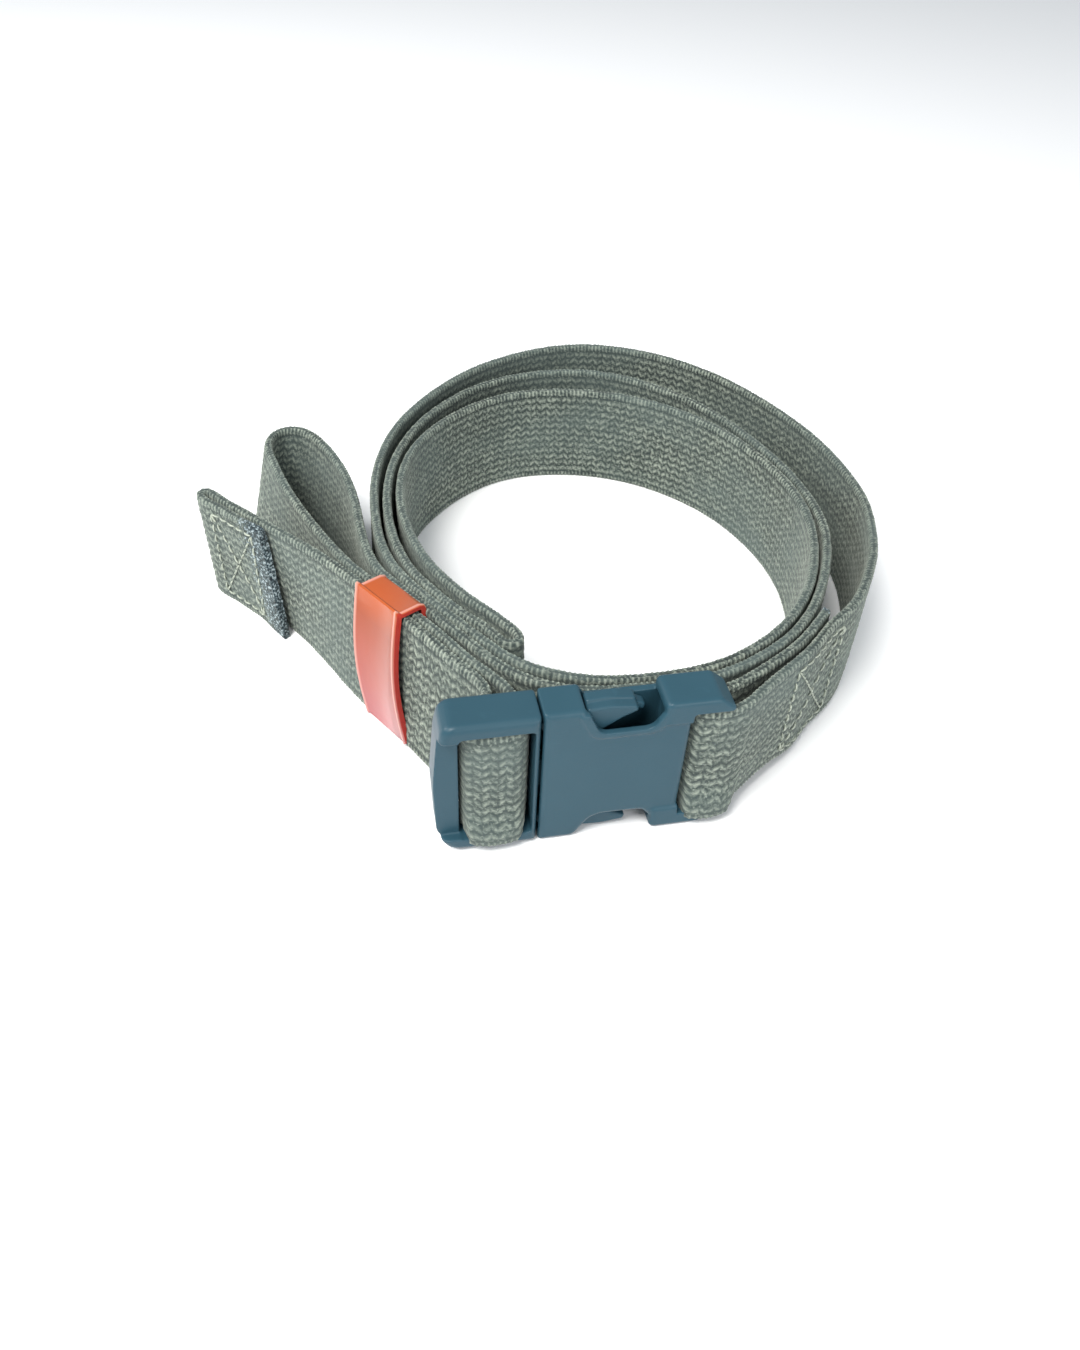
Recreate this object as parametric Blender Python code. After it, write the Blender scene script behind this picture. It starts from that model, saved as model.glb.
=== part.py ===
"""Buckle tourniquet: one long webbing strap wound into a ring, with a side-release buckle and a keeper.

Frame: metres, +Z up, the ring standing on the strap's lower edges. +X runs along the buckle, from the
latch half to the socket half, and the buckle is at the front, at -Y. The origin is the middle of the
object's box, at the height of the surface that it stands on. Lengths below are in millimetres.
"""

import math

import bmesh
import bpy
import numpy as np

MM = 0.001

# Webbing
STRAP_WIDTH = 25.0
STRAP_THICKNESS = 1.8
GAP = 0.3
STATION = 4.0

# Buckle: a rounded slab standing on edge
BUCKLE_HEIGHT = 32.0
BUCKLE_FRONT = -74.5
BUCKLE_BACK = -66.5
BUCKLE_MID = (BUCKLE_FRONT + BUCKLE_BACK) / 2
MID_HEIGHT = BUCKLE_HEIGHT / 2
BAR_THICKNESS = 2.7

# Where the strap's lower edge leaves the surface and rises to the middle of the buckle
LIFT = (BUCKLE_HEIGHT - STRAP_WIDTH) / 2
LIFT_FROM_Y = 10.0
LIFT_TO_Y = -62.0

# Socket half
SOCKET_MOUTH = -14.0
COLLAR_END = -6.8
SOCKET_FACE_END = 12.0
SOCKET_END = 19.5
SOCKET_WALL = 1.4
REAR_BAR = (15.2, 18.6)
UPPER_WINDOW_DEPTH = 5.4
LOWER_WINDOW_DEPTH = 4.6

# Latch half
FRAME_LEFT = -32.2
FRAME_HEIGHT = 30.0
RAIL = 2.2
LEFT_BAR_END = -28.2
MIDDLE_BAR = (-22.6, -18.0)
SHOULDER = (-15.2, -14.35)
GUIDE_TIP = 5.0
PRONG_PIVOT_X = -12.55
PRONG_PIVOT_RISE = 11.9
PRONG_ROOT_RADIUS = 1.5
PRONG_DEPTH = 4.2

# Keeper: a bent plate loop round the tail and the standing part
KEEPER_WALL = 0.5
KEEPER_LENGTH = 13.5
KEEPER_BOW = 1.3
KEEPER_CENTRE = (-35.35, -34.5)
KEEPER_ALONG = (0.504, -0.864)

# Sewing
THREAD = 0.5
THREAD_THICKNESS = 0.35

# The strap's centreline seen from above, from its sewn end to its hem. Each section is one node.
ROUTE = (
    ("sewn_end", ((46.3, -49.6), (44.8, -51.2), (38.4, -57.4), (30.9, -62.4), (24.4, -66.0))),
    ("rear_bar_wrap", ((19.4, -67.75), (16.6, -67.8), (14.6, -68.7), (13.8, -70.5), (14.6, -72.3),
                       (16.6, -73.2))),
    ("sewn_strap", ((19.4, -73.2), (22.9, -71.8), (26.4, -69.2), (32.0, -65.2), (39.7, -59.4),
                    (46.3, -53.2))),
    ("outer_turn", ((50.6, -50.0), (55.4, -45.2), (60.4, -38.3), (64.9, -30.6), (68.2, -22.8),
                    (71.9, -11.0), (73.12, 1.5), (72.2, 14.5), (69.3, 27.0), (65.0, 38.4), (59.6, 48.8),
                    (53.2, 57.6), (45.6, 64.9), (36.4, 70.5), (26.4, 73.4), (16.0, 73.0), (5.2, 69.4),
                    (-5.0, 63.6), (-13.6, 56.2), (-21.2, 47.4), (-27.2, 38.2), (-31.4, 28.6),
                    (-34.3, 18.4), (-35.9, 8.0))),
    ("inner_front_run", ((-36.3, -2.0), (-36.0, -11.0), (-34.7, -19.2), (-32.7, -25.4), (-30.3, -30.6),
                         (-26.5, -37.5), (-23.0, -43.6), (-20.0, -48.7), (-16.7, -53.6), (-12.3, -57.8),
                         (-7.0, -60.7), (-1.5, -62.4), (4.0, -63.0), (11.0, -63.0))),
    ("inner_turn", ((17.5, -62.2), (23.0, -60.7), (29.0, -57.9), (35.3, -53.6), (41.2, -47.8),
                    (46.8, -40.2), (51.5, -31.2), (55.2, -21.2), (57.2, -11.0), (57.3, 0.5),
                    (55.0, 12.0), (50.6, 23.0), (45.0, 31.6), (38.0, 38.8), (29.5, 44.4), (20.0, 47.9),
                    (10.0, 49.2), (-0.4, 47.8), (-10.4, 42.6), (-19.0, 34.8), (-25.8, 24.6),
                    (-29.4, 13.4), (-30.5, 2.0), (-29.6, -10.0), (-27.2, -21.0), (-23.8, -29.4))),
    ("inner_fold", ((-20.4, -35.8), (-17.4, -40.4), (-15.0, -44.6), (-13.6, -48.2), (-14.1, -50.1),
                    (-15.7, -50.1), (-17.7, -47.4))),
    ("return_turn", ((-20.8, -42.5), (-23.2, -39.0), (-27.0, -32.0), (-30.3, -24.6), (-32.3, -16.6),
                     (-33.4, -8.0), (-33.6, 1.0), (-32.8, 10.0), (-30.7, 19.4), (-27.0, 29.0),
                     (-22.0, 38.0), (-15.2, 46.2), (-6.8, 53.2), (2.8, 57.6), (13.0, 59.4), (22.6, 58.6),
                     (31.0, 55.2), (38.0, 49.9), (43.8, 43.8), (49.0, 36.2), (53.2, 27.4), (56.8, 16.4),
                     (59.4, 5.0), (60.0, -7.0), (58.6, -19.0), (55.0, -29.6), (50.0, -39.4),
                     (44.0, -48.2), (37.0, -55.4), (29.8, -60.2))),
    ("outer_front_run", ((22.6, -63.4), (16.5, -64.9), (10.0, -65.3), (3.0, -65.3), (-3.2, -64.8),
                         (-9.2, -63.1), (-14.4, -60.0), (-18.9, -55.0), (-23.0, -48.1), (-26.0, -42.9),
                         (-29.3, -36.9), (-33.2, -29.9), (-37.0, -22.6))),
    ("slack_loop", ((-39.0, -13.6), (-39.8, -4.0), (-40.3, 5.5), (-41.7, 15.8), (-44.3, 25.6),
                    (-47.6, 33.2), (-51.2, 37.2), (-55.0, 37.6), (-57.8, 34.4), (-58.4, 29.6),
                    (-57.4, 23.6), (-55.3, 14.4), (-52.2, 4.6), (-48.8, -4.8))),
    ("standing_part", ((-45.9, -12.2), (-43.0, -18.9), (-40.0, -24.4), (-35.9, -31.4), (-31.9, -38.3),
                       (-28.4, -44.3), (-26.1, -48.8), (-23.6, -54.4), (-20.6, -60.0))),
    ("latch_bar_wrap", ((-17.6, -65.2), (-16.6, -68.6), (-16.8, -70.9), (-18.0, -72.7), (-20.3, -73.25),
                        (-22.9, -73.1), (-24.8, -71.7), (-25.4, -68.9))),
    ("tail", ((-25.4, -64.6), (-25.9, -59.6), (-27.1, -54.0), (-29.3, -47.6), (-33.7, -39.35),
              (-37.75, -32.4), (-41.8, -25.5), (-45.9, -19.0), (-50.1, -13.0), (-54.6, -7.2),
              (-59.7, -1.05), (-64.8, 5.05))),
    ("hem_flap", ((-69.6, 10.8), (-71.2, 12.75), (-71.9, 13.15), (-72.6, 12.95), (-73.05, 12.2),
                  (-72.85, 11.1), (-69.8, 7.35), (-66.6, 3.5), (-59.75, -4.7))),
)

# How far the strap's lower edge stands out from under its upper edge, at the slack loop
LOOP_FLARE = 4.0
LOOP_FLARE_CENTRE = (-58.4, 29.6)
LOOP_FLARE_REACH = 26.0


def smoothstep(t):
    t = np.clip(t, 0.0, 1.0)
    return t * t * (3.0 - 2.0 * t)


def lift(y):
    """How high the strap's lower edge is above the surface, at this Y."""
    return LIFT * smoothstep((LIFT_FROM_Y - y) / (LIFT_FROM_Y - LIFT_TO_Y))


class Route:
    """A natural cubic spline through points in the plan, measured by its length."""

    def __init__(self, points):
        self.points = np.array(points, float)
        steps = np.linalg.norm(np.diff(self.points, axis=0), axis=1)
        self.knots = np.concatenate([[0.0], np.cumsum(steps)])
        count = len(self.points)
        system = np.eye(count)
        right = np.zeros((count, 2))
        for i in range(1, count - 1):
            before, after = steps[i - 1], steps[i]
            system[i, i - 1 : i + 2] = before, 2.0 * (before + after), after
            rise_after = (self.points[i + 1] - self.points[i]) / after
            rise_before = (self.points[i] - self.points[i - 1]) / before
            right[i] = 6.0 * (rise_after - rise_before)
        self.bend = np.linalg.solve(system, right)
        fine = np.linspace(0.0, self.knots[-1], 40 * count)
        run = np.linalg.norm(np.diff(self.at_knot(fine), axis=0), axis=1)
        self.fine, self.run = fine, np.concatenate([[0.0], np.cumsum(run)])

    def at_knot(self, t):
        i = np.clip(np.searchsorted(self.knots, t) - 1, 0, len(self.knots) - 2)
        low, high = self.knots[i], self.knots[i + 1]
        span = (high - low)[..., None]
        a = (high - t)[..., None] / span
        b = 1.0 - a
        curve = (a**3 - a) * self.bend[i] + (b**3 - b) * self.bend[i + 1]
        return a * self.points[i] + b * self.points[i + 1] + curve * span**2 / 6.0

    def length_at_point(self, index):
        return float(np.interp(self.knots[index], self.fine, self.run))

    def at(self, length):
        """(points, unit normals to the left of travel) at these lengths along the route."""
        length = np.clip(length, 0.05, self.run[-1] - 0.05)
        here = self.at_knot(np.interp(length, self.run, self.fine))
        ahead = self.at_knot(np.interp(length + 0.05, self.run, self.fine))
        behind = self.at_knot(np.interp(length - 0.05, self.run, self.fine))
        along = ahead - behind
        along /= np.linalg.norm(along, axis=-1)[..., None]
        return here, np.stack([-along[..., 1], along[..., 0]], axis=-1)


def stations(route, start, end):
    """Lengths along the route from start to end, closer together where it bends hard."""
    found = [start]
    while found[-1] < end:
        _, normals = route.at([found[-1], found[-1] + STATION])
        turn = math.acos(max(-1.0, min(1.0, float(normals[0] @ normals[1]))))
        found.append(found[-1] + max(0.8, min(STATION, STATION * math.radians(16.0) / (turn + 1e-9))))
    shares = (np.array(found) - start) / (found[-1] - start)
    return start + shares * (end - start)


def strap_point(place, normal, side, height):
    """A point of the strap: side is measured across its thickness, height up its width."""
    flare = LOOP_FLARE * smoothstep(1.0 - math.dist(place, LOOP_FLARE_CENTRE) / LOOP_FLARE_REACH)
    outwards = side - flare * (1.0 - height / STRAP_WIDTH)
    x, y = place + normal * outwards
    return x * MM, y * MM, (lift(place[1]) + height) * MM


def new_object(name, mesh_bm, material, origin=None):
    """Turns a bmesh in metres into a named object, with its origin moved to the given point."""
    bmesh.ops.recalc_face_normals(mesh_bm, faces=mesh_bm.faces)
    if mesh_bm.calc_volume(signed=True) < 0:
        bmesh.ops.reverse_faces(mesh_bm, faces=mesh_bm.faces)
    mesh = bpy.data.meshes.new(name)
    if origin:
        bmesh.ops.translate(mesh_bm, vec=[-c for c in origin], verts=mesh_bm.verts)
    mesh_bm.to_mesh(mesh)
    mesh_bm.free()
    obj = bpy.data.objects.new(name, mesh)
    if origin:
        obj.location = origin
    obj.data.materials.append(material)
    bpy.context.collection.objects.link(obj)
    return obj


def loft(rings):
    """A closed solid through rings of points, each ring with the same number of corners."""
    solid = bmesh.new()
    made = [[solid.verts.new(p) for p in ring] for ring in rings]
    for ring, following in zip(made[:-1], made[1:]):
        for i in range(len(ring)):
            j = (i + 1) % len(ring)
            solid.faces.new((ring[i], ring[j], following[j], following[i]))
    solid.faces.new(made[0][::-1])
    solid.faces.new(made[-1])
    return solid


def strap_section(name, route, start, end, material):
    half = STRAP_THICKNESS / 2
    lengths = stations(route, start, end)
    places, normals = route.at(lengths)
    corners = ((-half, 0.0), (half, 0.0), (half, STRAP_WIDTH), (-half, STRAP_WIDTH))
    rings = [[strap_point(p, n, side, up) for side, up in corners] for p, n in zip(places, normals)]
    obj = new_object(name, loft(rings), material)
    obj.data.shade_smooth()
    obj.data.set_sharp_from_angle(angle=math.radians(35))
    return obj


def add_modifier_bevel(obj, width, segments, angle=30):
    bevel = obj.modifiers.new("Bevel", "BEVEL")
    bevel.width = width * MM
    bevel.segments = segments
    bevel.limit_method = "ANGLE"
    bevel.angle_limit = math.radians(angle)
    return bevel


def add_boolean(obj, other, operation):
    other.hide_render = True
    other.display_type = "WIRE"
    boolean = obj.modifiers.new(operation.title(), "BOOLEAN")
    boolean.operation = operation
    boolean.solver = "EXACT"
    boolean.object = other


def plate(name, outline, front, back, material, origin=None):
    """An outline in X and Z, extruded along Y."""
    solid = loft([[(x * MM, y * MM, z * MM) for x, z in outline] for y in (front, back)])
    return new_object(name, solid, material, origin)


def block(name, x, y, z, material):
    outline = [(x[0], z[0]), (x[1], z[0]), (x[1], z[1]), (x[0], z[1])]
    return plate(name, outline, y[0], y[1], material)


def arc(centre, radius, first, last, steps):
    """Points on an arc in the plan of an outline, its angles in degrees."""
    angles = [math.radians(first + (last - first) * i / steps) for i in range(steps + 1)]
    return [(centre[0] + radius * math.cos(a), centre[1] + radius * math.sin(a)) for a in angles]


def closed_outline(upper, lower):
    """An outline from its upper edge and its lower edge, the lower one given as if it were upper too."""
    return upper + [(x, BUCKLE_HEIGHT - z) for x, z in reversed(lower)]


def make_socket(material):
    top = BUCKLE_HEIGHT

    def edge(window_depth):
        floor = top - window_depth
        return [
            (SOCKET_MOUTH, top),
            (COLLAR_END, top),
            (-3.4, floor + 1.0),
            (-1.8, floor),
            (4.6, floor),
            (7.0, floor + 2.0),
            (8.6, top - 0.3),
            (17.2, top - 0.3),
            (SOCKET_END, top - 2.4),
            (SOCKET_END, top - 5.0),
        ]

    outline = closed_outline(edge(UPPER_WINDOW_DEPTH), edge(LOWER_WINDOW_DEPTH))
    socket = plate("female_socket", outline, BUCKLE_FRONT, BUCKLE_BACK, material)
    add_modifier_bevel(socket, 0.7, 2)

    wall = SOCKET_WALL
    cavity = block(
        "cut_cavity",
        (SOCKET_MOUTH - 1.0, 8.4),
        (BUCKLE_FRONT + wall, BUCKLE_BACK - wall),
        (2.2, top - 2.2),
        material,
    )
    windows = block(
        "cut_windows",
        (COLLAR_END - 0.1, 8.0),
        (BUCKLE_FRONT + wall, BUCKLE_BACK - wall),
        (-1.0, top + 1.0),
        material,
    )
    rear = block(
        "cut_rear",
        (SOCKET_FACE_END, SOCKET_END + 1.0),
        (BUCKLE_FRONT - 1.0, BUCKLE_BACK + 1.0),
        (LIFT - GAP, top - LIFT + GAP),
        material,
    )
    half = BAR_THICKNESS / 2
    bar = block("add_rear_bar", REAR_BAR, (BUCKLE_MID - half, BUCKLE_MID + half), (2.0, top - 2.0), material)
    add_modifier_bevel(bar, 1.1, 3)
    add_boolean(socket, cavity, "DIFFERENCE")
    add_boolean(socket, windows, "DIFFERENCE")
    add_boolean(socket, rear, "DIFFERENCE")
    add_boolean(socket, bar, "UNION")
    return socket


def make_latch(material):
    top = MID_HEIGHT + FRAME_HEIGHT / 2
    upper = [
        (FRAME_LEFT, MID_HEIGHT),
        (FRAME_LEFT + 0.15, MID_HEIGHT + 6.0),
        (FRAME_LEFT + 0.9, top - 3.0),
        *arc((FRAME_LEFT + 3.2, top - 2.1), 2.1, 180, 90, 4),
        (SHOULDER[1], top),
    ]
    latch = plate("latch_base", closed_outline(upper, upper)[:-1], BUCKLE_FRONT, BUCKLE_BACK + 0.4, material)
    add_modifier_bevel(latch, 0.7, 2)

    slot = (MID_HEIGHT - FRAME_HEIGHT / 2 + RAIL, MID_HEIGHT + FRAME_HEIGHT / 2 - RAIL)
    through = (BUCKLE_FRONT - 1.0, BUCKLE_BACK + 1.0)
    opening = block("cut_slots", (LEFT_BAR_END, SHOULDER[0]), through, slot, material)
    recess = block(
        "cut_left_bar",
        (FRAME_LEFT - 1.0, LEFT_BAR_END + 0.5),
        (BUCKLE_FRONT - 1.0, BUCKLE_FRONT + 1.2),
        (slot[0] + 0.2, slot[1] - 0.2),
        material,
    )
    half = BAR_THICKNESS / 2
    depth = (BUCKLE_MID - half, BUCKLE_MID + half)
    bar = block("add_middle_bar", MIDDLE_BAR, depth, (slot[0] - 1.0, slot[1] + 1.0), material)
    add_modifier_bevel(bar, 1.1, 3)

    guide_half = 3.4
    guide_outline = [
        (SHOULDER[0] + 0.3, MID_HEIGHT - guide_half),
        (GUIDE_TIP - 2.5, MID_HEIGHT - guide_half),
        (GUIDE_TIP, MID_HEIGHT - guide_half + 1.6),
        (GUIDE_TIP, MID_HEIGHT + guide_half - 1.6),
        (GUIDE_TIP - 2.5, MID_HEIGHT + guide_half),
        (SHOULDER[0] + 0.3, MID_HEIGHT + guide_half),
    ]
    guide = plate("add_guide", guide_outline, BUCKLE_MID - 1.2, BUCKLE_MID + 1.2, material)
    add_boolean(latch, opening, "DIFFERENCE")
    add_boolean(latch, recess, "DIFFERENCE")
    add_boolean(latch, bar, "UNION")
    add_boolean(latch, guide, "UNION")
    return latch


def make_prong(name, side, material):
    """A flexing prong: a round root, an arm, and a barbed button. side is 1 above and -1 below."""
    rise = PRONG_PIVOT_RISE
    radius = PRONG_ROOT_RADIUS
    outline = [
        *arc((PRONG_PIVOT_X, rise), radius, 270, 90, 8),
        (-6.5, rise + radius),
        (-6.1, rise + radius + 1.7),
        (-2.0, rise + radius + 2.0),
        (2.6, rise + radius + 1.5),
        (4.6, rise + radius - 0.2),
        (4.9, rise - 0.8),
        (3.2, rise - 1.9),
        (-5.0, rise - radius),
    ]
    outline = [(x, MID_HEIGHT + side * z) for x, z in outline]
    half = PRONG_DEPTH / 2
    origin = (PRONG_PIVOT_X * MM, BUCKLE_MID * MM, (MID_HEIGHT + side * rise) * MM)
    prong = plate(name, outline, BUCKLE_MID - half, BUCKLE_MID + half, material, origin)
    add_modifier_bevel(prong, 0.35, 2)
    return prong


def make_keeper(material):
    """A closed loop of plate, its front wall bowed out, its length along the strap."""
    x, y = KEEPER_CENTRE
    slope = (lift(y - 1.0) - lift(y + 1.0)) / 2 * -KEEPER_ALONG[1]
    along = np.array([*KEEPER_ALONG, slope])
    along /= np.linalg.norm(along)
    inwards = np.array([-KEEPER_ALONG[1], KEEPER_ALONG[0], 0.0])
    inwards /= np.linalg.norm(inwards)
    up = np.cross(inwards, along)
    if up[2] < 0:
        up = -up
    centre = np.array([x, y, lift(y) + STRAP_WIDTH / 2])

    depth = 2 * STRAP_THICKNESS + 0.9
    height = STRAP_WIDTH + 2 * GAP

    def loop(grow):
        """Corners of the opening, grown by the wall: the front side is a shallow arc."""
        half_depth, half_height = depth / 2 + grow, height / 2 + grow
        front = [
            (-half_depth - KEEPER_BOW * math.cos(t * math.pi / 2), half_height * t)
            for t in (-0.9, -0.6, -0.3, 0.0, 0.3, 0.6, 0.9)
        ]
        round_off = 0.5 + 0.6 * grow
        back = [
            (-half_depth + round_off, half_height),
            (half_depth - round_off, half_height),
            (half_depth, half_height - round_off),
            (half_depth, -half_height + round_off),
            (half_depth - round_off, -half_height),
            (-half_depth + round_off, -half_height),
        ]
        return front + back

    solid = bmesh.new()
    rings = []
    for grow in (0.0, KEEPER_WALL):
        for end in (-KEEPER_LENGTH / 2, KEEPER_LENGTH / 2):
            points = [centre + inwards * a + up * b + along * end for a, b in loop(grow)]
            rings.append([solid.verts.new(p * MM) for p in points])
    inner_start, inner_end, outer_start, outer_end = rings
    pairs = (
        (inner_start, inner_end),
        (inner_end, outer_end),
        (outer_end, outer_start),
        (outer_start, inner_start),
    )
    for first, second in pairs:
        for i in range(len(first)):
            j = (i + 1) % len(first)
            solid.faces.new((first[i], first[j], second[j], second[i]))
    origin = tuple(centre * MM)
    keeper = new_object("keeper", solid, material, origin)
    keeper.data.shade_smooth()
    keeper.data.set_sharp_from_angle(angle=math.radians(30))
    return keeper


def make_stitching(name, route, start, end, side, material):
    """A box of thread with a cross in it, laid along one face of the strap."""
    margin = 2.6
    width = end - start
    height = STRAP_WIDTH - 2 * margin
    half = THREAD / 2
    bars = []

    def bar(first, last):
        """A flat strip between two points of the strap's face."""
        first, last = np.array(first), np.array(last)
        along = (last - first) / np.linalg.norm(last - first)
        across = np.array([-along[1], along[0]]) * half
        steps = 8
        solid = bmesh.new()
        rings = []
        for i in range(steps + 1):
            middle = first - along * half + (last - first + 2 * along * half) * i / steps
            low, high = middle - across, middle + across
            ring = [(*low, 0.0), (*high, 0.0), (*high, THREAD_THICKNESS), (*low, THREAD_THICKNESS)]
            rings.append(ring)
        solid.free()
        bars.append(loft(rings))

    bar((0.0, 0.0), (width, 0.0))
    bar((width, 0.0), (width, height))
    bar((width, height), (0.0, height))
    bar((0.0, height), (0.0, 0.0))
    bar((0.0, 0.0), (width, height))
    bar((0.0, height), (width, 0.0))

    pieces = [new_object(f"{name}_strip_{i}", b, material) for i, b in enumerate(bars)]
    for piece in pieces[1:]:
        add_boolean(pieces[0], piece, "UNION")
    bpy.context.view_layer.update()
    flat = pieces[0].evaluated_get(bpy.context.evaluated_depsgraph_get()).to_mesh()
    solid = bmesh.new()
    solid.from_mesh(flat)
    for piece in pieces:
        bpy.data.objects.remove(piece)

    lengths = np.array([start + v.co.x for v in solid.verts])
    places, normals = route.at(lengths)
    face = STRAP_THICKNESS / 2 + GAP
    for v, place, normal in zip(solid.verts, places, normals):
        v.co = strap_point(place, normal, side * (face + v.co.z), margin + v.co.y)
    return new_object(name, solid, material)


def make_material(name, colour, roughness, metallic=0.0):
    material = bpy.data.materials.new(name)
    material.use_nodes = True
    shader = material.node_tree.nodes["Principled BSDF"]
    shader.inputs["Base Color"].default_value = (*colour, 1.0)
    shader.inputs["Roughness"].default_value = roughness
    shader.inputs["Metallic"].default_value = metallic
    material.diffuse_color = (*colour, 1.0)
    return material


def main():
    for obj in list(bpy.data.objects):
        bpy.data.objects.remove(obj)

    webbing = make_material("olive_webbing", (0.20, 0.22, 0.17), 0.9)
    thread = make_material("sewing_thread", (0.33, 0.35, 0.28), 0.8)
    socket_plastic = make_material("socket_plastic", (0.055, 0.105, 0.155), 0.4)
    latch_plastic = make_material("latch_plastic", (0.05, 0.10, 0.15), 0.42)
    keeper_plastic = make_material("keeper_plastic", (0.80, 0.13, 0.05), 0.2)

    route = Route([p for _, points in ROUTE for p in points])
    first = 0
    starts = []
    for _, points in ROUTE:
        starts.append(route.length_at_point(first))
        first += len(points)
    starts.append(route.run[-1])
    for (name, _), start, end in zip(ROUTE, starts[:-1], starts[1:]):
        strap_section(name, route, start + GAP / 2, end - GAP / 2, webbing)

    make_socket(socket_plastic)
    make_latch(latch_plastic)
    make_prong("upper_prong", 1, latch_plastic)
    make_prong("lower_prong", -1, latch_plastic)
    make_keeper(keeper_plastic)

    names = [name for name, _ in ROUTE]
    sewn = starts[names.index("sewn_strap") + 1]
    make_stitching("tab_box_stitch", route, sewn - 20.5, sewn - 2.0, -1, thread)
    hem = starts[-1]
    make_stitching("hem_box_stitch", route, hem - 16.5, hem - 2.5, -1, thread)


main()
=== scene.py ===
"""The looks of the buckle tourniquet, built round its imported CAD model.

The strap is one webbing band, woven here in geometry: rows of zigzag yarn on both faces and a beaded
selvedge on both edges. Lengths in this file are millimetres until a mesh is made. The lights and the
camera are placed in metres.
"""

import math

import bmesh
import bpy
import numpy as np
from mathutils import Matrix, Vector


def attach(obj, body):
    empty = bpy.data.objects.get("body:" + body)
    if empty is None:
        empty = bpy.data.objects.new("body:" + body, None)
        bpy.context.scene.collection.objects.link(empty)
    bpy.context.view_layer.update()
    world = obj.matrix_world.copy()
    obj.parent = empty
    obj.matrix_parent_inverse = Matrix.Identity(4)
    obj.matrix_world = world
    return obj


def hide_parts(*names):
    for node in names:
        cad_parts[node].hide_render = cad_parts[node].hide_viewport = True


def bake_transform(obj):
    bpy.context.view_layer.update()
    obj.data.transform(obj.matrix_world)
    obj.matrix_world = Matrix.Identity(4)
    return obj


MM = 0.001

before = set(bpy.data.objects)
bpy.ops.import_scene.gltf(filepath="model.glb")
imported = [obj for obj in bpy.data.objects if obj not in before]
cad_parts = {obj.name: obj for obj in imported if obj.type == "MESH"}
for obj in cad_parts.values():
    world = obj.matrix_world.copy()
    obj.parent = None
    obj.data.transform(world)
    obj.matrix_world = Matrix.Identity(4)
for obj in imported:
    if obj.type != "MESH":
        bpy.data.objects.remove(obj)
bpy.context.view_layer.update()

# ---------------------------------------------------------------- sizes, as in the CAD model

STRAP_WIDTH = 25.0
STRAP_THICKNESS = 1.8
LIFT = 3.5                  # how high the strap stands at the buckle
LIFT_FROM_Y = 10.0
LIFT_TO_Y = -62.0
LOOP_CENTRE = (-58.4, 29.6)
LOOP_REACH = 40.0

BUCKLE_HEIGHT = 32.0
BUCKLE_FRONT = -74.5
BUCKLE_BACK = -66.5
BUCKLE_MID = (BUCKLE_FRONT + BUCKLE_BACK) / 2
MID_HEIGHT = BUCKLE_HEIGHT / 2

KEEPER_CENTRE = (-35.35, -34.5)
KEEPER_ALONG = (0.504, -0.864)

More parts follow.
